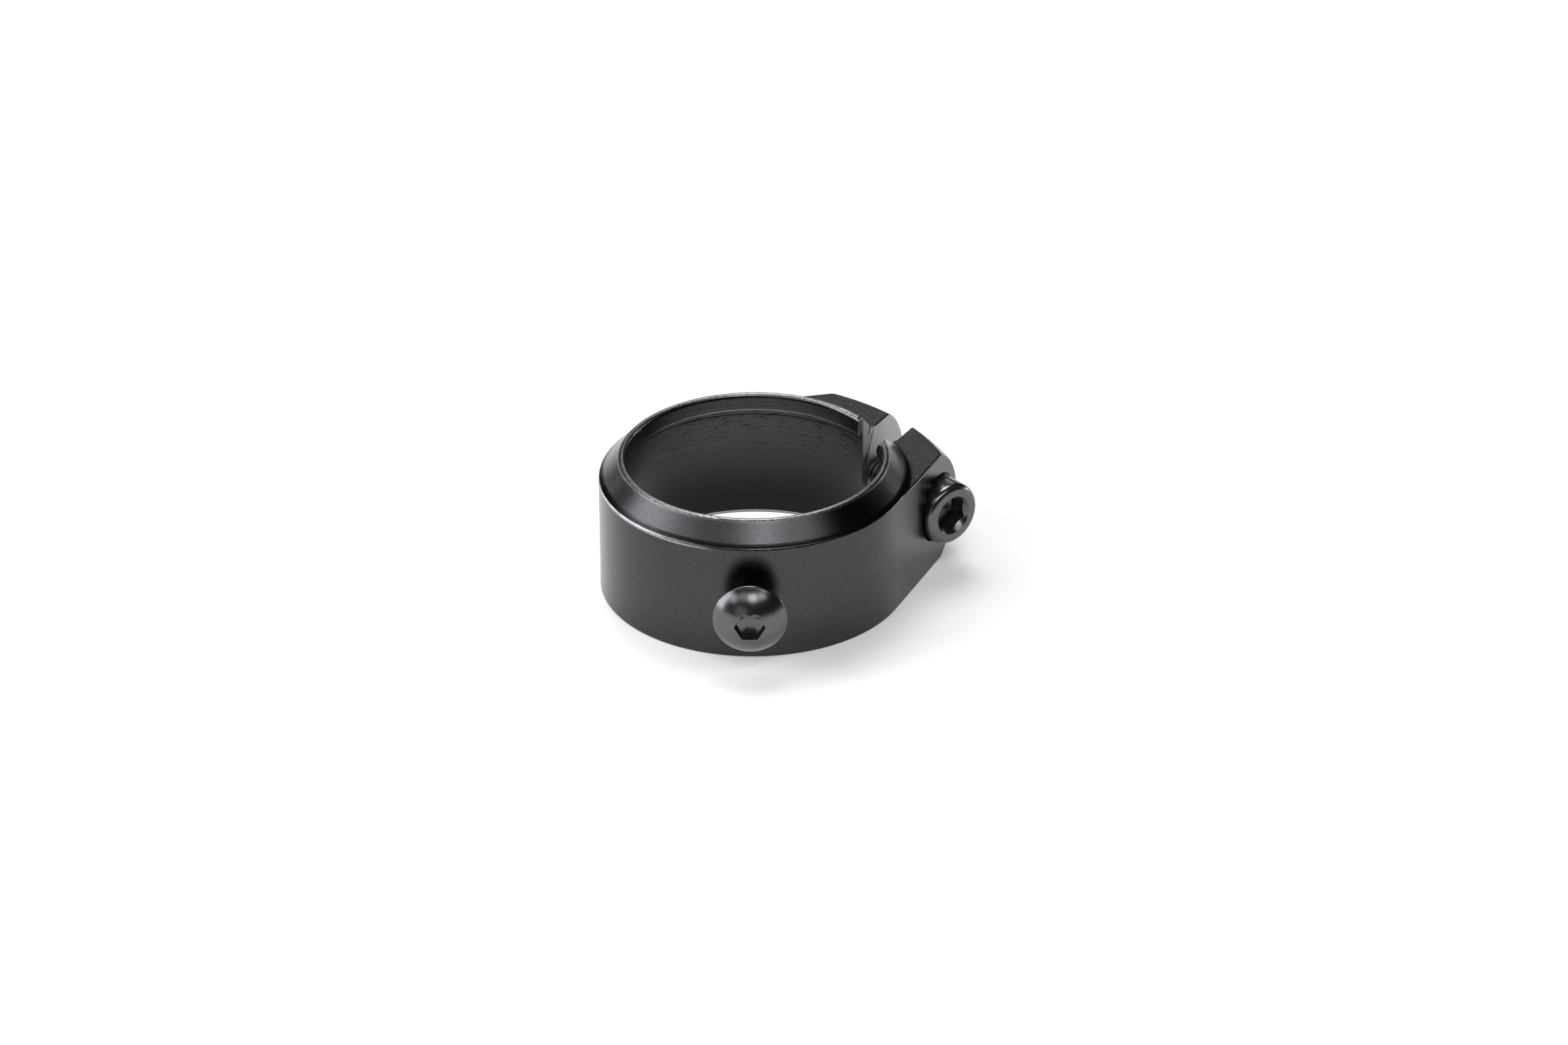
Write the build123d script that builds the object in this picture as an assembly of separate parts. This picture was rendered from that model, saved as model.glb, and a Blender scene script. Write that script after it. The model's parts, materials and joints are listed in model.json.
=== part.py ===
from build123d import *

import os
from math import asin, atan2, cos, radians, sin, tan

# Seatpost clamp for a bicycle frame, in millimetres.
# +Z runs up through the bore, +Y through the middle of the two ears, and +X along the pinch bolt towards its
# head. Heights are counted from the base. The written parts have their origin on the bore's axis at the lip's
# seat, where the end of the frame's tube stops.

# Ring
bore_diameter = 34.9
ring_diameter = 40.0
ring_height = 18.5
bore_mouth_chamfer = 0.8
edge_rounding = 0.3

# Lip that stops the clamp on the end of the frame's tube
lip_opening_diameter = 33.0
lip_seat_height = 16.2
lip_rounding = 0.5
crest_diameter = 34.56
crest_rounding = 0.6

# Ears
ear_height = 15.5
ear_reach = 28.15
ear_end_radius = 34.3
ear_bulge_radius = 9.8
ear_end_rounding = 1.2
ear_wall_angle = 63.0
cone_foot_diameter = 39.8
cone_foot_fillet = 1.9

# Slot between the ears
slot_width = 4.3
slot_lean = 21.5
slot_offset = 1.63
slot_edge_rounding = 0.25
crest_end_rounding_near_head = 2.4
crest_end_rounding_far = 0.5

# Pinch bolt, an M5 socket head cap screw
pinch_diameter = 5.0
pinch_length = 20.0
pinch_height = 8.3
pinch_distance = 21.4
pinch_head_diameter = 8.4
pinch_head_height = 5.0
pinch_head_rounding = 0.7
pinch_hex = 4.0
pinch_hex_depth = 2.8
pinch_hex_turn = 33.0
pinch_seat_distance = 9.7
pinch_seat_gap = 0.02

# Button head bolt in the ring's wall, an M5 screw too
button_diameter = 5.0
button_length = 6.0
button_height = 7.75
button_angle = 130.0
button_head_diameter = 9.5
button_head_height = 2.75
button_land_diameter = 5.0
button_rim_height = 0.35
button_hex = 3.0
button_hex_depth = 2.0
button_hex_turn = 0.0
button_tip_gap = 0.05

# Clearances and small forms that both bolts share
thread_play = 0.05
hole_play = 0.25
pocket_play = 0.3
tip_chamfer = 0.6
hex_entry = 0.25
drill_point_angle = 30.0

bore_radius = bore_diameter / 2
ring_radius = ring_diameter / 2
pinch_line = Plane(origin=(0, pinch_distance, pinch_height), x_dir=(0, 1, 0), z_dir=(1, 0, 0))
saw_start = Pos(slot_offset, pinch_distance, 0) * Rot(0, 0, slot_lean) * Pos(0, -ear_reach / 2, 0)
button_direction = (sin(radians(button_angle)), cos(radians(button_angle)), 0)
button_tip = bore_radius + button_tip_gap
button_line = Plane(
    origin=(button_tip * button_direction[0], button_tip * button_direction[1], button_height),
    x_dir=(button_direction[1], -button_direction[0], 0),
    z_dir=button_direction,
)


def turned_blank():
    """The form that the lathe leaves: base, flat, cone and crest."""
    stock = 2 * ear_end_radius
    cone_foot = (cone_foot_diameter / 2, ear_height)
    crest = (crest_diameter / 2, ring_height)
    roundings = ((cone_foot, cone_foot_fillet), (crest, crest_rounding))
    with BuildSketch(Plane.XZ) as section:
        with BuildLine():
            Polyline((stock, 0), (stock, ear_height), cone_foot, crest, (0, ring_height), (0, 0), close=True)
        make_face()
        for (radius, height), rounding in roundings:
            corner = section.vertices().sort_by_distance((radius, height))[0]
            fillet(corner, rounding)
    return revolve(section.sketch, Axis.Z)


def ear_barrel():
    """The barrel that ends both ears. Its bulging side turns about a line behind the bore's axis."""
    half_height = ear_height / 2
    past_flat = (radians(90) + asin(half_height / ear_bulge_radius)) / 2
    rise = ear_bulge_radius * sin(past_flat)
    side = ear_end_radius - ear_bulge_radius * (1 - cos(past_flat))
    with BuildSketch(Plane.XZ) as section:
        with BuildLine():
            Polyline(
                (side, half_height + rise),
                (side, half_height + ring_height),
                (0, half_height + ring_height),
                (0, half_height - rise),
                (side, half_height - rise),
            )
            ThreePointArc(
                (side, half_height - rise),
                (ear_end_radius, half_height),
                (side, half_height + rise),
            )
        make_face()
    return Pos(0, ear_reach - ear_end_radius, 0) * revolve(section.sketch, Axis.Z)


def milled_outline():
    """The plan of the clamp: a round ring that runs on in two straight walls to the ears."""
    wall = radians(ear_wall_angle)
    tangent_x = ring_radius * sin(wall)
    tangent_y = ring_radius * cos(wall)
    apex = ring_radius / cos(wall)
    with BuildSketch() as plan:
        Circle(ring_radius)
        Polygon((0, 0), (tangent_x, tangent_y), (0, apex), (-tangent_x, tangent_y), align=None)
    return extrude(plan.sketch, ring_height)


def bore_and_lip():
    """What is bored out: the tube's seat from below and the lip's opening above it."""
    lip_radius = lip_opening_diameter / 2
    mouth = bore_radius + bore_mouth_chamfer
    shoulder = ring_height - lip_rounding
    with BuildSketch(Plane.XZ) as section:
        with BuildLine():
            Polyline(
                (lip_radius, shoulder),
                (lip_radius, lip_seat_height),
                (bore_radius, lip_seat_height),
                (bore_radius, bore_mouth_chamfer),
                (mouth, 0),
                (0, 0),
                (0, ring_height),
                (lip_radius + lip_rounding, ring_height),
            )
            RadiusArc((lip_radius, shoulder), (lip_radius + lip_rounding, ring_height), lip_rounding)
        make_face()
    return revolve(section.sketch, Axis.Z)


def slot():
    """The slanted saw cut that lets the ears close, with the crest's two ends rounded into it."""
    half = slot_width / 2
    near = crest_end_rounding_near_head
    far = crest_end_rounding_far
    with BuildSketch(Plane.XZ) as section:
        with BuildLine():
            Polyline(
                (-half, ring_height - far),
                (-half, 0),
                (half, 0),
                (half, ring_height - near),
            )
            RadiusArc((half, ring_height - near), (half + near, ring_height), near)
            Line((half + near, ring_height), (-half - far, ring_height))
            RadiusArc((-half - far, ring_height), (-half, ring_height - far), far)
        make_face()
    return saw_start * extrude(section.sketch, -2 * ear_reach)


def slot_edges():
    """What the slot's two edges lose on the ears' flats."""
    half = slot_width / 2
    cone_slope = atan2(ring_height - ear_height, (cone_foot_diameter - crest_diameter) / 2)
    foot = cone_foot_diameter / 2 + cone_foot_fillet * tan(cone_slope / 2)
    with BuildSketch(Plane.XZ) as section:
        for side in (-1, 1):
            edge = (side * half, ear_height - slot_edge_rounding)
            flat = (side * (half + slot_edge_rounding), ear_height)
            with BuildLine():
                Polyline(flat, (side * half, ear_height), edge)
                RadiusArc(edge, flat, side * slot_edge_rounding)
            make_face()
    cut = extrude(section.sketch, -2 * ear_reach)
    return saw_start * cut - Cylinder(foot, 2 * ring_height)


def rod(line, radius, start, end):
    """A round bar about a line, from one distance along it to another."""
    return line * Pos(0, 0, start) * Cylinder(radius, end - start, align=(Align.CENTER, Align.CENTER, Align.MIN))


def hex_socket(line, across_flats, depth, face, turn):
    """The key's socket: six flats, a chamfered mouth and the drill's shallow point."""
    flat = across_flats / 2
    corner = flat / cos(radians(30))
    point = flat * tan(radians(drill_point_angle))
    with BuildSketch() as flats:
        RegularPolygon(flat, 6, major_radius=False, rotation=turn)
    align = (Align.CENTER, Align.CENTER, Align.MIN)
    socket = Pos(0, 0, -depth) * extrude(flats.sketch, depth)
    socket += Pos(0, 0, -depth - point) * Cone(0, flat, point, align=align)
    entry = corner + hex_entry
    socket += Pos(0, 0, -entry / 2) * Cone(corner - entry / 2, entry, entry / 2, align=align)
    return line * Pos(0, 0, face) * socket


def clamp_ring():
    """The ring with its ears, turned and milled from one piece of aluminium."""
    turned = turned_blank()
    barrel = ear_barrel()
    blank = turned & barrel
    flat_end = new_edges(turned, barrel, combined=blank).group_by(Axis.Z)[-1]
    blank = fillet(flat_end, ear_end_rounding)
    outline = milled_outline()
    ring = blank & outline
    corners = new_edges(blank, outline, combined=ring)
    ring = fillet(ring.edges().group_by(Axis.Z)[0] + corners, edge_rounding)
    ring -= bore_and_lip()
    ring -= slot()
    ring -= slot_edges()
    ring -= rod(pinch_line, pinch_diameter / 2 + hole_play, slot_offset, ear_reach)
    ring -= rod(pinch_line, pinch_head_diameter / 2 + pocket_play, pinch_seat_distance, ear_reach)
    ring -= rod(pinch_line, pinch_diameter / 2 + thread_play, -ear_reach, slot_offset)
    ring -= rod(button_line, button_diameter / 2 + thread_play, -bore_mouth_chamfer, ring_diameter)
    return ring


def pinch_bolt():
    """The socket head cap screw that draws the ears together."""
    head_start = pinch_seat_distance + pinch_seat_gap
    head_end = head_start + pinch_head_height
    head = rod(pinch_line, pinch_head_diameter / 2, head_start, head_end)
    head = fillet(head.edges().group_by(Axis.X)[-1], pinch_head_rounding)
    shank = rod(pinch_line, pinch_diameter / 2, head_start - pinch_length, head_start)
    shank = chamfer(shank.edges().group_by(Axis.X)[0], tip_chamfer)
    return head + shank - hex_socket(pinch_line, pinch_hex, pinch_hex_depth, head_end, pinch_hex_turn)


def button_bolt():
    """The short button head bolt that stands in the ring's wall."""
    with BuildSketch(Plane.XZ) as section:
        radius = button_diameter / 2
        rim = button_head_diameter / 2
        land = button_land_diameter / 2
        rise = button_head_height - button_rim_height
        half_chord = ((rim - land) ** 2 + rise ** 2) ** 0.5 / 2
        top = button_length + button_head_height
        with BuildLine():
            Polyline(
                (land, top),
                (0, top),
                (0, 0),
                (radius - tip_chamfer, 0),
                (radius, tip_chamfer),
                (radius, button_length),
                (rim, button_length),
                (rim, button_length + button_rim_height),
            )
            RadiusArc((rim, button_length + button_rim_height), (land, top), -2 * half_chord)
        make_face()
    turned = button_line * revolve(section.sketch, Axis.Z)
    return turned - hex_socket(button_line, button_hex, button_hex_depth, top, button_hex_turn)


lip_seat_at_origin = Pos(0, 0, -lip_seat_height)

os.makedirs("parts", exist_ok=True)
export_step(lip_seat_at_origin * clamp_ring(), "parts/clamp_ring.step")
export_step(lip_seat_at_origin * pinch_bolt(), "parts/pinch_bolt.step")
export_step(lip_seat_at_origin * button_bolt(), "parts/button_bolt.step")
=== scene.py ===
"""Finishes, bolts and studio for a slotted seatpost clamp with a pinch bolt and a button head bolt."""

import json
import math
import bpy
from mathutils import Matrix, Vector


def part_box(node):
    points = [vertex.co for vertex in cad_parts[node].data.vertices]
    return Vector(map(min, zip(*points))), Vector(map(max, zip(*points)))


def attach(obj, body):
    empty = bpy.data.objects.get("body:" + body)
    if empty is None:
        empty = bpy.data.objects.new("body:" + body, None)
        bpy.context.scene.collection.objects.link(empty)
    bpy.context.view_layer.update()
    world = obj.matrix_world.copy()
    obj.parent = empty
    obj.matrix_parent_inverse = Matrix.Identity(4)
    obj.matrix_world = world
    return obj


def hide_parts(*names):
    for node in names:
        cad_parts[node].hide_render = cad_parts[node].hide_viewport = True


bl_info = {
    "name": "Seatpost clamp studio",
    "version": (1, 0, 0),
    "blender": (4, 5, 0),
    "location": "3D View > Sidebar > Clamp",
    "description": "Anodised and oxide finishes, threaded bolts and a white studio for a seatpost clamp",
    "category": "Object",
}

import bmesh
import bpy
from mathutils import Matrix, Vector

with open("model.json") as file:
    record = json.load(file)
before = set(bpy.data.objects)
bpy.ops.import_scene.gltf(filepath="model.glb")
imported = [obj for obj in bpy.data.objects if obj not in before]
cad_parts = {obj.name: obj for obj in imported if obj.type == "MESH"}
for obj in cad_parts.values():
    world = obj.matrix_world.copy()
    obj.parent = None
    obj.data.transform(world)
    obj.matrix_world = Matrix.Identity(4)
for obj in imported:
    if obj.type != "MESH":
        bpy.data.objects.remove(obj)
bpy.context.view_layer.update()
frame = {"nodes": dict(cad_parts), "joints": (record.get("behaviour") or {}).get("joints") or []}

MM = 0.001
WELD = 0.0005 * MM
DRILL_RISE = math.radians(24)
ring_low, ring_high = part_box("clamp_ring")
joints = {joint["name"]: joint for joint in frame["joints"]}
pinch_joint = joints["pinch_bolt_turn"]
button_joint = joints["button_bolt_turn"]


class AnodisedProperties(bpy.types.PropertyGroup):
    """The clamp ring's dyed and sealed skin, and the marks the tools left under it."""

    dye: bpy.props.FloatVectorProperty(
        name="Dye", description="Colour of the dyed skin", subtype="COLOR", size=3,
        min=0, max=1, default=(0.059, 0.0595, 0.063),
    )
    # Bare is also the colour of the painted highlights on the lip's lower edge and on the lit side of the
    # outer edge.
    bare: bpy.props.FloatVectorProperty(
        name="Bare", description="Colour where the saw and wear show the metal through the skin",
        subtype="COLOR", size=3, min=0, max=1, default=(0.34, 0.34, 0.35),
    )
    roughness: bpy.props.FloatProperty(
        name="Roughness", description="Spread of the satin skin's highlights", subtype="FACTOR",
        min=0, max=1, default=0.24,
    )
    grain: bpy.props.FloatProperty(
        name="Grain", description="Width of one grain of the satin etch", unit="LENGTH", default=0.16 * MM,
        precision=6,
    )
    bore_radius: bpy.props.FloatProperty(
        name="Bore radius", description="Radius of the bored seat that carries the turning marks",
        unit="LENGTH", default=17.45 * MM, precision=6,
    )
    slot_width: bpy.props.FloatProperty(
        name="Slot width", description="Distance between the two sawn faces", unit="LENGTH",
        default=4.3 * MM, precision=6,
    )
    slot_lean: bpy.props.FloatProperty(
        name="Slot lean", description="Turn of the saw cut from the line through the ears", unit="ROTATION",
        default=math.radians(21.5),
    )
    slot_offset: bpy.props.FloatProperty(
        name="Slot offset", description="Distance of the saw cut from the middle, on the pinch bolt's line",
        unit="LENGTH", default=1.63 * MM, precision=6,
    )
    flat_height: bpy.props.FloatProperty(
        name="Flat height", description="Height of the ears' flats in the clamp's frame", unit="LENGTH",
        default=-0.7 * MM, precision=6,
    )
    fan_depth: bpy.props.FloatProperty(
        name="Fan depth", description="Depth under the lip's seat where the saw's tracks meet at the bore",
        unit="LENGTH", default=6.3 * MM, precision=6,
    )
    tool_line_height: bpy.props.FloatProperty(
        name="Tool line height", description="Height of the dark line the boring tool left near the lip",
        unit="LENGTH", default=-1.1 * MM, precision=6,
    )


class OxideProperties(bpy.types.PropertyGroup):
    """The two bolts' blackened steel."""

    colour: bpy.props.FloatVectorProperty(
        name="Colour", description="Colour of the blackened steel", subtype="COLOR", size=3,
        min=0, max=1, default=(0.125, 0.126, 0.132),
    )
    roughness: bpy.props.FloatProperty(
        name="Roughness", description="Spread of the oiled steel's highlights", subtype="FACTOR",
        min=0, max=1, default=0.22,
    )
    grain: bpy.props.FloatProperty(
        name="Grain", description="Width of one grain of the oxide", unit="LENGTH", default=0.09 * MM,
        precision=6,
    )


class PinchHeadProperties(bpy.types.PropertyGroup):
    """The socket head of the bolt that draws the ears together."""

    diameter: bpy.props.FloatProperty(
        name="Diameter", description="Diameter of the head", unit="LENGTH", default=8.4 * MM, precision=6,
    )
    height: bpy.props.FloatProperty(
        name="Height", description="Height of the head", unit="LENGTH", default=5.0 * MM, precision=6,
    )
    rounding: bpy.props.FloatProperty(
        name="Rounding", description="Radius of the head's outer edge", unit="LENGTH", default=0.9 * MM,
        precision=6,
    )
    entry: bpy.props.FloatProperty(
        name="Entry", description="Width of the chamfer outside the hexagon's corners", unit="LENGTH",
        default=0.34 * MM, precision=6,
    )
    socket: bpy.props.FloatProperty(
        name="Socket", description="Width of the key's hexagon across its flats", unit="LENGTH",
        default=4.0 * MM, precision=6,
    )
    socket_depth: bpy.props.FloatProperty(
        name="Socket depth", description="Depth of the hexagon", unit="LENGTH", default=2.8 * MM, precision=6,
    )
    socket_turn: bpy.props.FloatProperty(
        name="Socket turn", description="Turn of the hexagon about the bolt", unit="ROTATION",
        default=math.radians(3),
    )


class ButtonHeadProperties(bpy.types.PropertyGroup):
    """The domed head of the short bolt in the ring's wall."""

    diameter: bpy.props.FloatProperty(
        name="Diameter", description="Diameter of the head", unit="LENGTH", default=9.5 * MM, precision=6,
    )
    height: bpy.props.FloatProperty(
        name="Height", description="Height of the head", unit="LENGTH", default=2.75 * MM, precision=6,
    )
    rim: bpy.props.FloatProperty(
        name="Rim", description="Straight height at the head's edge", unit="LENGTH", default=0.35 * MM,
        precision=6,
    )
    socket: bpy.props.FloatProperty(
        name="Socket", description="Width of the key's hexagon across its flats", unit="LENGTH",
        default=3.45 * MM, precision=6,
    )
    socket_depth: bpy.props.FloatProperty(
        name="Socket depth", description="Depth of the hexagon", unit="LENGTH", default=2.0 * MM, precision=6,
    )
    socket_turn: bpy.props.FloatProperty(
        name="Socket turn", description="Turn of the hexagon about the bolt", unit="ROTATION",
        default=math.radians(30),
    )


class ThreadProperties(bpy.types.PropertyGroup):
    """The M5 coarse thread that both bolts carry."""

    pitch: bpy.props.FloatProperty(
        name="Pitch", description="Advance of the thread in one turn", unit="LENGTH", default=0.8 * MM,
        precision=6,
    )
    crest_radius: bpy.props.FloatProperty(
        name="Crest radius", description="Radius over the thread's crests", unit="LENGTH", default=2.48 * MM,
        precision=6,
    )
    root_radius: bpy.props.FloatProperty(
        name="Root radius", description="Radius at the thread's roots", unit="LENGTH", default=2.04 * MM,
        precision=6,
    )
    collar: bpy.props.FloatProperty(
        name="Collar", description="Plain length under the head", unit="LENGTH", default=0.25 * MM,
        precision=6,
    )
    run_out: bpy.props.FloatProperty(
        name="Run-out", description="Length over which the thread fades into the collar", unit="LENGTH",
        default=0.7 * MM, precision=6,
    )
    tip_chamfer: bpy.props.FloatProperty(
        name="Tip chamfer", description="Chamfer on the bolt's tip", unit="LENGTH", default=0.6 * MM,
        precision=6,
    )
    steps: bpy.props.IntProperty(
        name="Steps", description="Steps in one turn of the thread", min=12, max=96, default=40,
    )


class StudioProperties(bpy.types.PropertyGroup):
    """Camera, floor and lamps."""

    azimuth: bpy.props.FloatProperty(
        name="Azimuth", description="Turn of the camera round the clamp, from behind the ring",
        unit="ROTATION", default=math.radians(51.4),
    )
    elevation: bpy.props.FloatProperty(
        name="Elevation", description="Height of the camera over the floor as an angle", unit="ROTATION",
        default=math.radians(29.64),
    )
    distance: bpy.props.FloatProperty(
        name="Distance", description="Distance of the camera from the ring's base", unit="LENGTH",
        default=0.8,
    )
    pitch: bpy.props.FloatProperty(
        name="Pitch", description="Downward tilt of the camera", unit="ROTATION", default=math.radians(29.11),
    )
    yaw: bpy.props.FloatProperty(
        name="Yaw", description="Turn of the camera to the right of the ring's middle", unit="ROTATION",
        default=math.radians(0.32),
    )
    roll: bpy.props.FloatProperty(
        name="Roll", description="Turn of the camera about its own line", unit="ROTATION",
        default=math.radians(-0.23),
    )
    lens: bpy.props.FloatProperty(
        name="Lens", description="Focal length on a 36 mm sensor", unit="CAMERA", default=141.12,
    )
    floor_colour: bpy.props.FloatVectorProperty(
        name="Floor", description="Colour of the floor", subtype="COLOR", size=3, min=0, max=1,
        default=(0.82, 0.82, 0.82),
    )
    floor_lift: bpy.props.FloatProperty(
        name="Floor lift", description="White that the camera sees on the floor on top of its colour",
        min=0, max=1, default=0.3,
    )
    # Painted light on the floor inside the ring, where the ring's own shade falls.
    ring_painted_light: bpy.props.FloatProperty(
        name="Ring lift", description="White that is added to the lift on the floor inside the ring",
        min=0, max=2, default=0.7,
    )
    room: bpy.props.FloatProperty(
        name="Room", description="Level of the light that comes from all round", min=0, max=1, default=0.0,
    )


class Signal:
    """A shader socket that takes part in arithmetic: each operation adds its own Math node."""

    def __init__(self, finish, socket):
        self.finish = finish
        self.socket = socket

    def maths(self, operation, *values):
        node = self.finish.node("ShaderNodeMath", {"operation": operation}, dict(enumerate(values)))
        return Signal(self.finish, node.outputs[0])

    def __add__(self, other):
        return self.maths("ADD", self, other)

    def __radd__(self, other):
        return self.maths("ADD", other, self)

    def __sub__(self, other):
        return self.maths("SUBTRACT", self, other)

    def __rsub__(self, other):
        return self.maths("SUBTRACT", other, self)

    def __mul__(self, other):
        return self.maths("MULTIPLY", self, other)

    def __rmul__(self, other):
        return self.maths("MULTIPLY", other, self)

    def __truediv__(self, other):
        return self.maths("DIVIDE", self, other)

    def __abs__(self):
        return self.maths("ABSOLUTE", self)

    def __lt__(self, other):
        return self.maths("LESS_THAN", self, other)

    def __gt__(self, other):
        return self.maths("GREATER_THAN", self, other)

    def at_least(self, other):
        return self.maths("MAXIMUM", self, other)

    def root(self):
        return self.maths("SQRT", self)

    def step(self, start, end):
        """Goes smoothly from 0 at start to 1 at end."""
        settings = {"interpolation_type": "SMOOTHSTEP"}
        sockets = {"Value": self, "From Min": start, "From Max": end}
        node = self.finish.node("ShaderNodeMapRange", settings, sockets)
        return Signal(self.finish, node.outputs[0])


class Finish:
    """One material and the nodes that make it."""

    def __init__(self, name):
        self.material = bpy.data.materials.new(name)
        self.material.use_nodes = True
        self.tree = self.material.node_tree
        self.tree.nodes.clear()

    def node(self, kind, settings=None, sockets=None):
        """Adds a node, sets it up, then fills its sockets with values or links."""
        node = self.tree.nodes.new(kind)
        for name, value in (settings or {}).items():
            setattr(node, name, value)
        for key, value in (sockets or {}).items():
            if isinstance(value, Signal):
                self.tree.links.new(value.socket, node.inputs[key])
            elif isinstance(value, bpy.types.NodeSocket):
                self.tree.links.new(value, node.inputs[key])
            else:
                node.inputs[key].default_value = value
        return node

    def place(self):
        """The point on the surface in millimetres, as three signals."""
        coordinates = self.node("ShaderNodeTexCoord")
        parts = self.node("ShaderNodeSeparateXYZ", sockets={0: coordinates.outputs["Object"]})
        return [Signal(self, part) / MM for part in parts.outputs]

    def noise(self, x, y, z, detail, rough):
        """Noise from 0 to 1 at a point that three signals or numbers give."""
        point = self.node("ShaderNodeCombineXYZ", sockets={0: x, 1: y, 2: z}).outputs[0]
        sockets = {"Vector": point, "Scale": 1.0, "Detail": detail, "Roughness": rough}
        node = self.node("ShaderNodeTexNoise", {"noise_dimensions": "3D"}, sockets)
        return Signal(self, node.outputs[0])

    def mix(self, factor, first, second):
        """Mixes two colours."""
        node = self.node("ShaderNodeMix", {"data_type": "RGBA"}, {0: factor, 6: first, 7: second})
        return node.outputs[2]

    def bump(self, height, distance):
        """Turns a height from 0 to 1 into a tilt of the surface."""
        sockets = {"Strength": 1.0, "Distance": distance, "Height": height}
        return self.node("ShaderNodeBump", sockets=sockets).outputs[0]

    def surface(self, sockets):
        shader = self.node("ShaderNodeBsdfPrincipled", sockets=sockets)
        self.node("ShaderNodeOutputMaterial", sockets={"Surface": shader.outputs[0]})
        return self.material


def opaque(colour, level=1.0):
    """A colour property as four numbers, at a level."""
    return (colour[0] * level, colour[1] * level, colour[2] * level, 1.0)


def anodised_finish(settings):
    """Satin black anodised aluminium, with turning marks in the bore and saw marks in the slot, painted shade
    down the bore and painted highlights on the lip's lower edge and on one side of the outer edge.
    """
    finish = Finish("anodised_aluminium_finish")
    x, y, z = finish.place()
    grain = settings.grain / MM
    bore = settings.bore_radius / MM
    from_flat = z - settings.flat_height / MM
    radius = (x * x + y * y).root()

    # Where each face is: a mask is 1 there and 0 elsewhere.
    skin = 0.08
    bored = radius < bore + skin
    in_bore = bored * (z < -0.03)
    on_lip = bored * (z > -0.03)
    on_crest = (z - ring_high.z / MM).step(-0.40, -0.12)
    on_flat = (abs(from_flat) < 0.04) * (radius > 20.1)
    on_edge = radius.step(19.6, 19.75) * abs(from_flat + 0.05).step(0.30, 0.12)
    # Painted highlight, partly real wear: the outer edge turns bare metal only on the side of the ring to the
    # camera's left, where the lamps light it.
    worn_and_highlit_edge = on_edge * (y / radius).step(-0.78, -0.93)

    # The slot's two faces, by the distance across the saw cut.
    lean = settings.slot_lean
    half = settings.slot_width / MM / 2
    from_middle = x - settings.slot_offset / MM
    from_bolt = y - pinch_joint["pos_m"][1] / MM
    across = from_middle * math.cos(lean) + from_bolt * math.sin(lean)
    in_slot = (abs(abs(across) - half) < 0.012) * (y > 10.0)

    # Grain of the etch and of wear, larger clouds, what the boring tool left, and a painted highlight along
    # the lip's lower edge.
    etch = finish.noise(x / grain, y / grain, z / grain, 3.0, 0.6)
    blotch = finish.noise(x / 0.30, y / 0.30, z / 0.30, 2.0, 0.7)
    mottle = finish.noise(x / 2.4, y / 2.4, z / 2.4, 4.0, 0.6)
    turning = finish.noise(x * 0.12, y * 0.12, z * 9.0, 3.0, 0.7)
    dashes = finish.noise(x * 0.55, y * 0.55, z * 5.5, 2.0, 0.5)
    scratches = dashes.step(0.56, 0.66) * z.step(-9.0, -2.5) * in_bore
    tool_line = abs(z - settings.tool_line_height / MM).step(0.13, 0.04) * in_bore
    rings = turning.step(0.52, 0.70) * z.step(-2.4, -1.0) * (in_bore + on_lip)
    seat_edge_highlight = abs(z - 0.07).step(0.11, 0.03) * on_lip

    # The saw's torn plates, which fan out from one point under the bore's edge.
    fan = (radius - bore) / (z + settings.fan_depth / MM).at_least(0.3)
    plates = finish.noise(fan * 6.5, radius * 0.4, across * 0.1, 3.0, 0.62)
    near_bore = fan.step(0.85, 0.70) * (radius - bore).step(3.8, 3.2)
    cracks = near_bore * plates.step(0.49, 0.57)

    dye, bare = settings.dye, settings.bare
    shade = finish.mix((etch - 0.5) * 1.3 + 0.5, opaque(dye, 0.5), opaque(dye, 1.5))
    matte = finish.mix((etch * 0.5 + blotch * 0.5).step(0.38, 0.62), opaque(dye, 0.3), opaque(dye, 0.95))
    sawn = finish.mix(cracks, opaque(bare, 1.0), opaque(bare, 0.1))
    shade = finish.mix(on_flat, shade, matte)
    # Painted highlight along the outer edge on its lit side, partly real wear, broken up by the grain.
    shade = finish.mix(worn_and_highlit_edge * (blotch * 0.6 + etch * 0.6).step(0.30, 0.6), shade, opaque(bare, 1.0))
    # Painted shade: the bore is darkened towards the base, where the ring shades its own inside.
    shade = finish.mix(in_bore * z.step(0.5, -13.0), shade, opaque(dye, 0.25))
    wear = (blotch * 0.7 + etch * 0.5).step(0.42, 0.75) * 0.7 + 0.2
    shade = finish.mix(on_crest * wear, shade, opaque(bare, 0.8))
    shade = finish.mix(tool_line * 0.85 + scratches * 0.6 + rings * 0.5, shade, opaque(dye, 0.1))
    # Painted highlight: a bare line along the lip's lower edge, where that edge would catch the light.
    shade = finish.mix(seat_edge_highlight * 0.8, shade, opaque(bare, 0.7))
    shade = finish.mix(in_slot, shade, sawn)

    height = etch * (1 - in_bore) * (1 - in_slot) * (1 - on_lip * 0.8) + blotch * on_crest * 1.6
    height = height + turning * (in_bore + on_lip) * 1.2 + plates * in_slot * near_bore * 4.0
    roughness = settings.roughness + (etch - 0.5) * 0.08 + (mottle - 0.5) * 0.06
    roughness = roughness + on_flat * 0.22 + in_slot * 0.25 + on_crest * 0.10 + in_bore * 0.06
    return finish.surface({
        "Base Color": shade,
        "Roughness": roughness,
        "Metallic": 1.0,
        "Normal": finish.bump(height, 0.016 * MM),
    })


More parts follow.
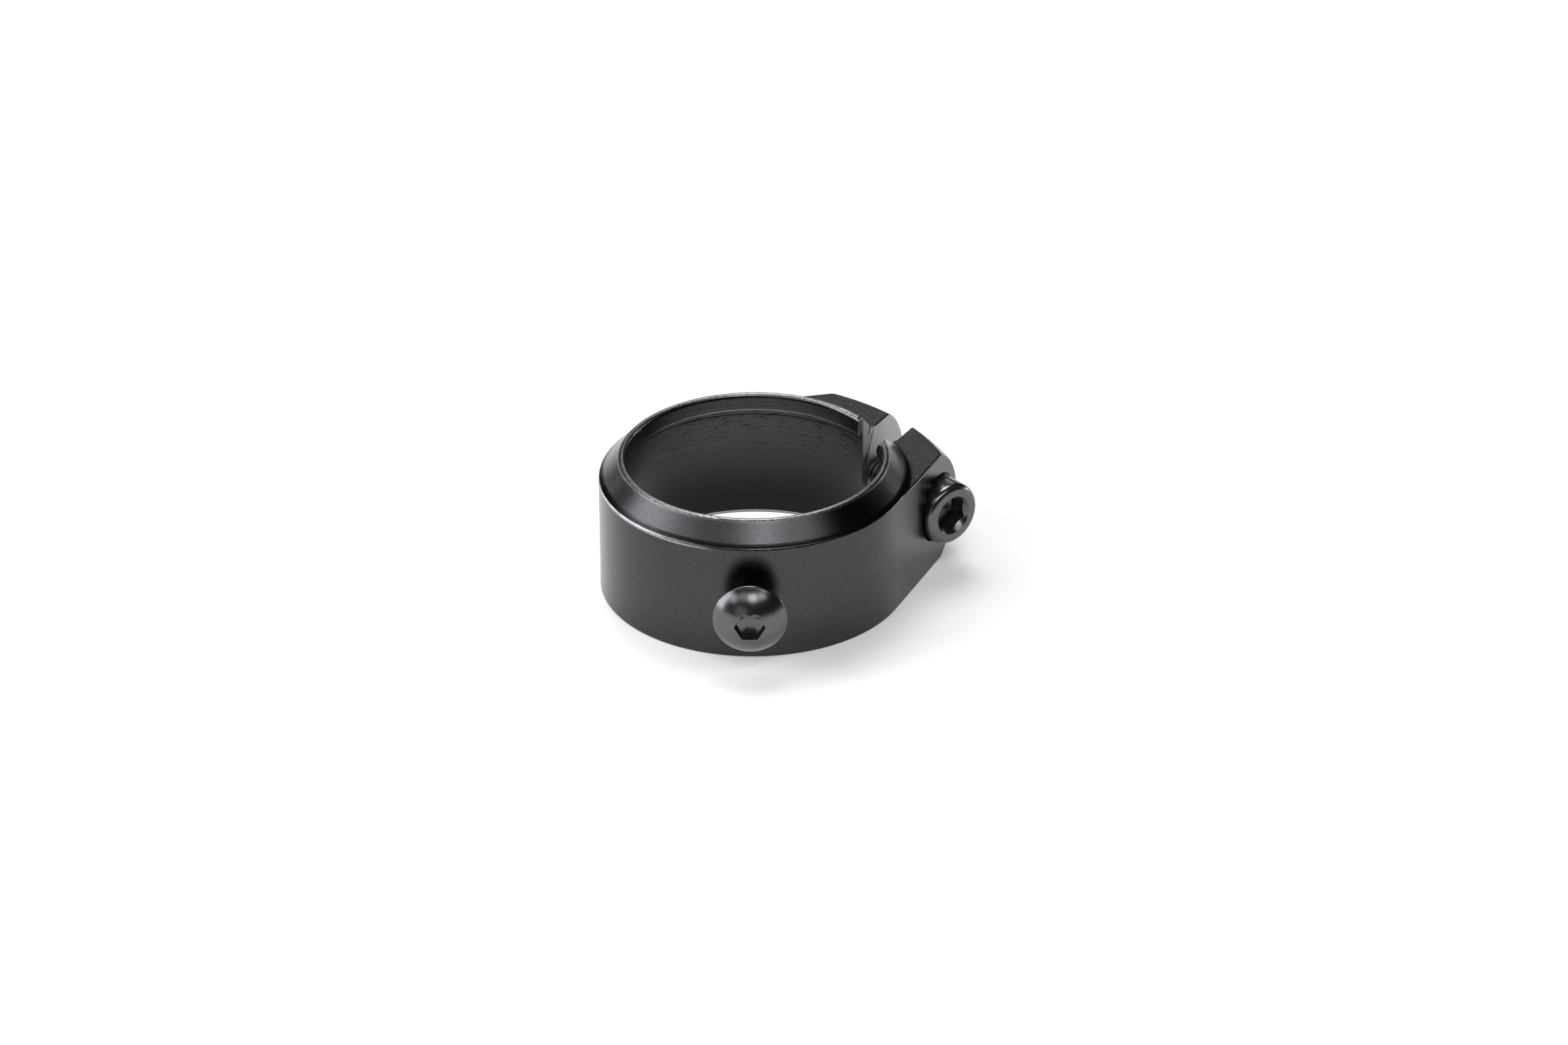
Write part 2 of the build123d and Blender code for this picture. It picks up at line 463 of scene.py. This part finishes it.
def oxide_finish(settings):
    """Oiled black oxide on steel."""
    finish = Finish("black_oxide_steel_finish")
    x, y, z = finish.place()
    grain = settings.grain / MM
    oxide = finish.noise(x / grain, y / grain, z / grain, 3.0, 0.6)
    bloom = finish.noise(x / 1.1, y / 1.1, z / 1.1, 3.0, 0.5)
    dark, light = opaque(settings.colour, 0.7), opaque(settings.colour, 1.3)
    return finish.surface({
        "Base Color": finish.mix(bloom * 0.6 + oxide * 0.4, dark, light),
        "Roughness": settings.roughness + (bloom - 0.5) * 0.12 + (oxide - 0.5) * 0.06,
        "Metallic": 0.9,
        "Normal": finish.bump(oxide, 0.004 * MM),
    })


def finish_for(name, make, settings):
    """The material of that name, made once."""
    return bpy.data.materials.get(name) or make(settings)


def bolt_frame(joint, seat):
    """The bolt's own frame: its axis along +Z, with the head's underside at the origin."""
    axis = Vector(joint["axis"])
    turn = axis.to_track_quat("Z", "Y").to_matrix().to_4x4()
    origin = Vector(joint["pos_m"])
    return Matrix.Translation(origin + axis * (seat - origin.dot(axis))) @ turn


def thread(bm, sizes, length):
    """A threaded bar about Z, from the collar down to the tip, open at the collar."""
    pitch = sizes.pitch
    turns = int(length / pitch) + 3
    crest = pitch / 8
    flank = pitch * 3 / 8
    start = -length - 2 * pitch
    chain = []
    for turn in range(turns):
        foot = start + turn * pitch
        for rise, radius in (
            (0.0, sizes.root_radius),
            (flank, sizes.crest_radius),
            (flank + crest, sizes.crest_radius),
            (2 * flank + crest, sizes.root_radius),
        ):
            chain.append(bm.verts.new((radius, 0.0, foot + rise)))
    edges = [bm.edges.new(pair) for pair in zip(chain, chain[1:])]
    steps = sizes.steps
    bmesh.ops.spin(
        bm, geom=chain + edges, cent=(0, 0, 0), axis=(0, 0, 1), dvec=(0, 0, pitch / steps), angle=math.tau,
        steps=steps, use_merge=False, use_normal_flip=False, use_duplicate=False,
    )
    bmesh.ops.remove_doubles(bm, verts=bm.verts[:], dist=0.002 * MM)
    for height, outward in ((-length, -1), (-sizes.collar, 1)):
        bmesh.ops.bisect_plane(
            bm, geom=bm.verts[:] + bm.edges[:] + bm.faces[:], dist=0.0001 * MM,
            plane_co=(0, 0, height), plane_no=(0, 0, outward), clear_outer=True,
        )
    for vert in bm.verts:
        radius = math.hypot(vert.co.x, vert.co.y)
        over_tip = vert.co.z + length
        below_collar = -sizes.collar - vert.co.z
        reach = min(radius, sizes.crest_radius - sizes.tip_chamfer + over_tip)
        fade = 1 - max(0.0, min(1.0, below_collar / sizes.run_out))
        reach = max(reach, sizes.root_radius + (sizes.crest_radius - sizes.root_radius) * fade)
        reach = min(reach, sizes.crest_radius - sizes.tip_chamfer + over_tip)
        vert.co.x *= reach / radius
        vert.co.y *= reach / radius
    rims = [edge for edge in bm.edges if edge.is_boundary and all(v.co.z < -length / 2 for v in edge.verts)]
    bmesh.ops.contextual_create(bm, geom=rims)


def sharpen(bm, angle):
    """Shades the faces smooth up to an angle between neighbours."""
    for face in bm.faces:
        face.smooth = True
    for edge in bm.edges:
        edge.smooth = not edge.is_manifold or edge.calc_face_angle(0.0) < angle


def cylinder_side(sizes):
    """Half section of the socket head: straight side, rounded edge, flat face and the socket's chamfer."""
    radius = sizes.diameter / 2
    under_edge = 0.12 * MM
    steps = 8
    side = [(radius - under_edge, 0.0), (radius, under_edge)]
    for step in range(steps + 1):
        turn = math.radians(90) * step / steps
        inward = sizes.rounding * (1 - math.cos(turn))
        side.append((radius - inward, sizes.height - sizes.rounding * (1 - math.sin(turn))))
    entry = sizes.socket / 2 / math.cos(math.radians(30)) + sizes.entry
    return side + [(entry, sizes.height), (0.0, sizes.height - entry)]


def dome_side(sizes):
    """Half section of the button head: a short rim, its rounded edge and a spherical dome."""
    rim = sizes.diameter / 2
    edge = rim - 0.1 * MM
    under_edge = 0.06 * MM
    rise = sizes.height - sizes.rim
    sphere = (edge * edge + rise * rise) / (2 * rise)
    steps = 18
    side = [
        (rim - under_edge, 0.0),
        (rim, under_edge),
        (rim, sizes.rim - 0.16 * MM),
        (rim - 0.03 * MM, sizes.rim - 0.07 * MM),
    ]
    for step in range(steps + 1):
        turn = math.asin(edge / sphere) * (steps - step) / steps
        side.append((sphere * math.sin(turn), sizes.height - sphere * (1 - math.cos(turn))))
    return side


def turned_head(bm, side, sizes, neck, floor):
    """A turned head about Z, closed on top and open at the neck under it."""
    chain = [bm.verts.new((neck, 0.0, floor)), bm.verts.new((neck, 0.0, 0.0))]
    chain += [bm.verts.new((radius, 0.0, height)) for radius, height in side]
    edges = [bm.edges.new(pair) for pair in zip(chain, chain[1:])]
    bmesh.ops.spin(
        bm, geom=chain + edges, cent=(0, 0, 0), axis=(0, 0, 1), dvec=(0, 0, 0), angle=math.tau,
        steps=96, use_merge=True, use_normal_flip=False, use_duplicate=False,
    )
    bmesh.ops.remove_doubles(bm, verts=bm.verts[:], dist=WELD)


def cut_socket(bm, sizes):
    """Opens the head inside the hexagon and draws its rim down to the drill's point."""
    flat = sizes.socket / 2
    half_height = sizes.height / 2
    turns = [sizes.socket_turn + math.radians(60 * side) for side in range(6)]
    normals = [Vector((math.cos(turn), math.sin(turn), 0)) for turn in turns]
    for normal in normals:
        bmesh.ops.bisect_plane(
            bm, geom=bm.verts[:] + bm.edges[:] + bm.faces[:], dist=WELD,
            plane_co=normal * flat, plane_no=normal,
        )
    mouth = []
    for face in bm.faces:
        middle = face.calc_center_median()
        if middle.z > half_height and all(middle.dot(normal) < flat for normal in normals):
            mouth.append(face)
    bmesh.ops.delete(bm, geom=mouth, context="FACES")
    rim = [edge for edge in bm.edges if edge.is_boundary and edge.verts[0].co.z > half_height]
    bottom = sizes.height - sizes.socket_depth
    wall = bmesh.ops.extrude_edge_only(bm, edges=rim)["geom"]
    low = [item for item in wall if isinstance(item, bmesh.types.BMVert)]
    bmesh.ops.scale(bm, vec=(1, 1, 0), verts=low)
    bmesh.ops.translate(bm, vec=(0, 0, bottom), verts=low)
    loop = [item for item in wall if isinstance(item, bmesh.types.BMEdge)]
    drilled = bmesh.ops.extrude_edge_only(bm, edges=loop)["geom"]
    tip = [item for item in drilled if isinstance(item, bmesh.types.BMVert)]
    bmesh.ops.pointmerge(bm, verts=tip, merge_co=(0, 0, bottom - flat * math.tan(DRILL_RISE)))
    bmesh.ops.bevel(
        bm, geom=[edge for edge in rim if edge.is_valid], offset=0.06 * MM, offset_type="OFFSET", segments=2,
        profile=0.5, affect="EDGES", material=-1,
    )


def threaded_bolt(name, node_name, joint, side, sizes, threads):
    """A bolt in the place of its CAD node: a turned head with its socket, on a shank with a real thread."""
    axis = Vector(joint["axis"])
    reach = [vert.co.dot(axis) for vert in frame["nodes"][node_name].data.vertices]
    length = max(reach) - min(reach) - sizes.height
    place = bolt_frame(joint, min(reach) + length)
    bm = bmesh.new()
    turned_head(bm, side, sizes, threads.crest_radius, -threads.collar / 2)
    cut_socket(bm, sizes)
    shank = bmesh.new()
    thread(shank, threads, length)
    shank_mesh = bpy.data.meshes.new(name + "_shank")
    shank.to_mesh(shank_mesh)
    shank.free()
    bm.from_mesh(shank_mesh)
    bpy.data.meshes.remove(shank_mesh)
    rims = [edge for edge in bm.edges if edge.is_boundary]
    bmesh.ops.bridge_loops(bm, edges=rims)
    bmesh.ops.transform(bm, matrix=place, verts=bm.verts[:])
    bmesh.ops.recalc_face_normals(bm, faces=bm.faces[:])
    sharpen(bm, math.radians(28))
    mesh = bpy.data.meshes.new(name)
    bm.to_mesh(mesh)
    bm.free()
    piece = bpy.data.objects.new(name, mesh)
    bpy.context.scene.collection.objects.link(piece)
    return piece


class CLAMP_OT_finish_ring(bpy.types.Operator):
    """Give the clamp ring its satin black anodised skin with turning and saw marks"""

    bl_idname = "clamp.finish_ring"
    bl_label = "Finish the ring"

    def execute(self, context):
        material = finish_for("anodised_aluminium_finish", anodised_finish, context.scene.clamp_anodised)
        ring = frame["nodes"]["clamp_ring"]
        for slot in ring.material_slots:
            slot.material = material
        return {"FINISHED"}


class CLAMP_OT_cut_pinch_bolt(bpy.types.Operator):
    """Turn the socket head pinch bolt, cut its thread and blacken it"""

    bl_idname = "clamp.cut_pinch_bolt"
    bl_label = "Cut the pinch bolt"

    def execute(self, context):
        scene = context.scene
        sizes = scene.clamp_pinch_head
        threads = scene.clamp_thread
        side = cylinder_side(sizes)
        piece = threaded_bolt("pinch_bolt_threaded", "pinch_bolt", pinch_joint, side, sizes, threads)
        piece.data.materials.append(finish_for("black_oxide_steel_finish", oxide_finish, scene.clamp_oxide))
        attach(piece, "pinch_screw")
        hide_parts("pinch_bolt")
        return {"FINISHED"}


class CLAMP_OT_cut_button_bolt(bpy.types.Operator):
    """Turn the short button head bolt, cut its thread and blacken it"""

    bl_idname = "clamp.cut_button_bolt"
    bl_label = "Cut the button bolt"

    def execute(self, context):
        scene = context.scene
        sizes = scene.clamp_button_head
        threads = scene.clamp_thread
        side = dome_side(sizes)
        piece = threaded_bolt("button_bolt_threaded", "button_bolt", button_joint, side, sizes, threads)
        piece.data.materials.append(finish_for("black_oxide_steel_finish", oxide_finish, scene.clamp_oxide))
        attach(piece, "button_screw")
        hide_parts("button_bolt")
        return {"FINISHED"}


def towards(azimuth, bearing, height):
    """A direction given by its bearing to the right of the camera and its angle over the floor."""
    front = Vector((math.sin(azimuth), -math.cos(azimuth), 0))
    right = Vector((math.cos(azimuth), math.sin(azimuth), 0))
    level = front * math.cos(bearing) + right * math.sin(bearing)
    return level * math.cos(height) + Vector((0, 0, math.sin(height)))


def softbox(name, azimuth, bearing, height, distance, width, tall, radiance):
    """A rectangular lamp that faces the clamp; radiance is how bright its face looks."""
    lamp = bpy.data.lights.new(name, "AREA")
    lamp.shape = "RECTANGLE"
    lamp.size = width
    lamp.size_y = tall
    lamp.energy = radiance * width * tall * 4
    holder = bpy.data.objects.new(name, lamp)
    line = towards(azimuth, math.radians(bearing), math.radians(height))
    holder.location = CLAMP_MIDDLE + line * distance
    holder.rotation_euler = line.to_track_quat("Z", "Y").to_euler()
    bpy.context.scene.collection.objects.link(holder)
    return holder


CLAMP_MIDDLE = Vector((0, 4 * MM, -7 * MM))

# Name, bearing from the camera and height in degrees, distance, width and height in metres, and radiance.
SOFTBOXES = (
    ("panel_left", -90, 22, 0.7, 0.40, 0.54, 3.8),
    ("panel_front_left", -58, 38, 0.8, 0.26, 0.26, 1.8),
    ("panel_front_high", -28, 50, 0.9, 0.32, 0.28, 1.0),
    ("panel_back_left", -135, 56, 0.9, 0.50, 0.30, 3.0),
    ("panel_over_front", 8, 51, 0.9, 0.32, 0.28, 4.2),
    ("panel_over_right", 44, 49, 0.9, 0.34, 0.26, 2.0),
    ("panel_over_back", 180, 64, 0.9, 0.34, 0.46, 6.0),
    ("panel_back", 180, 18, 1.0, 0.40, 0.36, 0.9),
    ("panel_front_low", -25, 14, 0.9, 0.50, 0.34, 0.4),
    ("panel_low_left", -118, 3, 0.9, 0.50, 0.10, 6.0),
    ("panel_low_right", 118, 3, 0.9, 0.50, 0.10, 6.0),
)


# The bore's bottom edge on the floor, in millimetres.
MOUTH_RADIUS = 18.2


def floor_finish(settings):
    """White paper that the camera sees a little brighter than it is lit, with painted light on the floor
    inside the ring, where the ring's shade falls.
    """
    finish = Finish("white_paper_finish")
    paper = finish.node("ShaderNodeBsdfDiffuse", sockets={"Color": opaque(settings.floor_colour)})
    path = finish.node("ShaderNodeLightPath")
    seen = Signal(finish, path.outputs["Is Camera Ray"]) + Signal(finish, path.outputs["Is Glossy Ray"])
    seen = seen + Signal(finish, path.outputs["Is Transmission Ray"])
    x, y, _ = finish.place()
    # Painted light: the floor inside the ring, which the ring shades, is lifted to white for the camera and
    # for reflections in the bore.
    in_ring = (x * x + y * y).root() < MOUTH_RADIUS
    level = seen * (in_ring * settings.ring_painted_light + settings.floor_lift)
    lift = finish.node("ShaderNodeEmission", sockets={"Color": level, "Strength": 1.0})
    both = finish.node("ShaderNodeAddShader", sockets={0: paper.outputs[0], 1: lift.outputs[0]})
    finish.node("ShaderNodeOutputMaterial", sockets={"Surface": both.outputs[0]})
    return finish.material


# Half the floor's width in metres, so that it fills the view down to a low camera.
FLOOR_REACH = 6.0


class CLAMP_OT_set_stage(bpy.types.Operator):
    """Lay the white floor, light the clamp softly and set the camera"""

    bl_idname = "clamp.set_stage"
    bl_label = "Set the stage"

    def execute(self, context):
        scene = context.scene
        studio = scene.clamp_studio
        base = ring_low.z
        bm = bmesh.new()
        bmesh.ops.create_grid(bm, x_segments=1, y_segments=1, size=FLOOR_REACH)
        bmesh.ops.translate(bm, vec=(0, 0, base), verts=bm.verts[:])
        mesh = bpy.data.meshes.new("floor")
        bm.to_mesh(mesh)
        bm.free()
        floor = bpy.data.objects.new("floor", mesh)
        scene.collection.objects.link(floor)
        mesh.materials.append(floor_finish(studio))

        world = bpy.data.worlds.new("room")
        scene.world = world
        world.use_nodes = True
        tree = world.node_tree
        tree.nodes.clear()
        light = tree.nodes.new("ShaderNodeBackground")
        light.inputs["Color"].default_value = (1, 1, 1, 1)
        light.inputs["Strength"].default_value = studio.room
        out = tree.nodes.new("ShaderNodeOutputWorld")
        tree.links.new(light.outputs[0], out.inputs["Surface"])

        for box in SOFTBOXES:
            softbox(box[0], studio.azimuth, *box[1:])

        camera = bpy.data.cameras.new("camera")
        camera.sensor_width = 36
        camera.lens = studio.lens
        camera.clip_start = 0.01
        holder = bpy.data.objects.new("camera", camera)
        scene.collection.objects.link(holder)
        scene.camera = holder
        up = Vector((0, 0, 1))
        front = towards(studio.azimuth, 0, 0)
        right = towards(studio.azimuth, math.pi / 2, 0)
        line = right * (math.sin(studio.yaw) * math.cos(studio.pitch))
        line -= front * (math.cos(studio.yaw) * math.cos(studio.pitch))
        line -= up * math.sin(studio.pitch)
        side = line.cross(up).normalized()
        over = side.cross(line)
        across = side * math.cos(studio.roll) + over * math.sin(studio.roll)
        over = over * math.cos(studio.roll) - side * math.sin(studio.roll)
        stand = towards(studio.azimuth, 0, studio.elevation) * studio.distance + Vector((0, 0, base))
        turn = Matrix((across, over, -line)).transposed().to_4x4()
        holder.matrix_world = Matrix.Translation(stand) @ turn

        scene.view_settings.view_transform = "Standard"
        return {"FINISHED"}


OPERATORS = (CLAMP_OT_finish_ring, CLAMP_OT_cut_pinch_bolt, CLAMP_OT_cut_button_bolt, CLAMP_OT_set_stage)


class CLAMP_PT_panel(bpy.types.Panel):
    """Lists the clamp's operators and settings"""

    bl_label = "Seatpost clamp"
    bl_idname = "CLAMP_PT_panel"
    bl_space_type = "VIEW_3D"
    bl_region_type = "UI"
    bl_category = "Clamp"

    def draw(self, context):
        for operator in OPERATORS:
            self.layout.operator(operator.bl_idname)
        for name, (group, _) in SETTINGS.items():
            box = self.layout.box()
            for field in group.__annotations__:
                box.prop(getattr(context.scene, name), field)


SETTINGS = {
    "clamp_anodised": (AnodisedProperties, "Ring finish"),
    "clamp_oxide": (OxideProperties, "Bolt finish"),
    "clamp_pinch_head": (PinchHeadProperties, "Pinch bolt"),
    "clamp_button_head": (ButtonHeadProperties, "Button bolt"),
    "clamp_thread": (ThreadProperties, "Thread"),
    "clamp_studio": (StudioProperties, "Studio"),
}


def register():
    for name, (group, _) in SETTINGS.items():
        bpy.utils.register_class(group)
        setattr(bpy.types.Scene, name, bpy.props.PointerProperty(type=group))
    for operator in OPERATORS:
        bpy.utils.register_class(operator)
    bpy.utils.register_class(CLAMP_PT_panel)


def unregister():
    bpy.utils.unregister_class(CLAMP_PT_panel)
    for operator in reversed(OPERATORS):
        bpy.utils.unregister_class(operator)
    for name, (group, _) in SETTINGS.items():
        delattr(bpy.types.Scene, name)
        bpy.utils.unregister_class(group)


def main():
    register()
    bpy.ops.clamp.finish_ring()
    bpy.ops.clamp.cut_pinch_bolt()
    bpy.ops.clamp.cut_button_bolt()
    bpy.ops.clamp.set_stage()


if __name__ == "__main__":
    main()
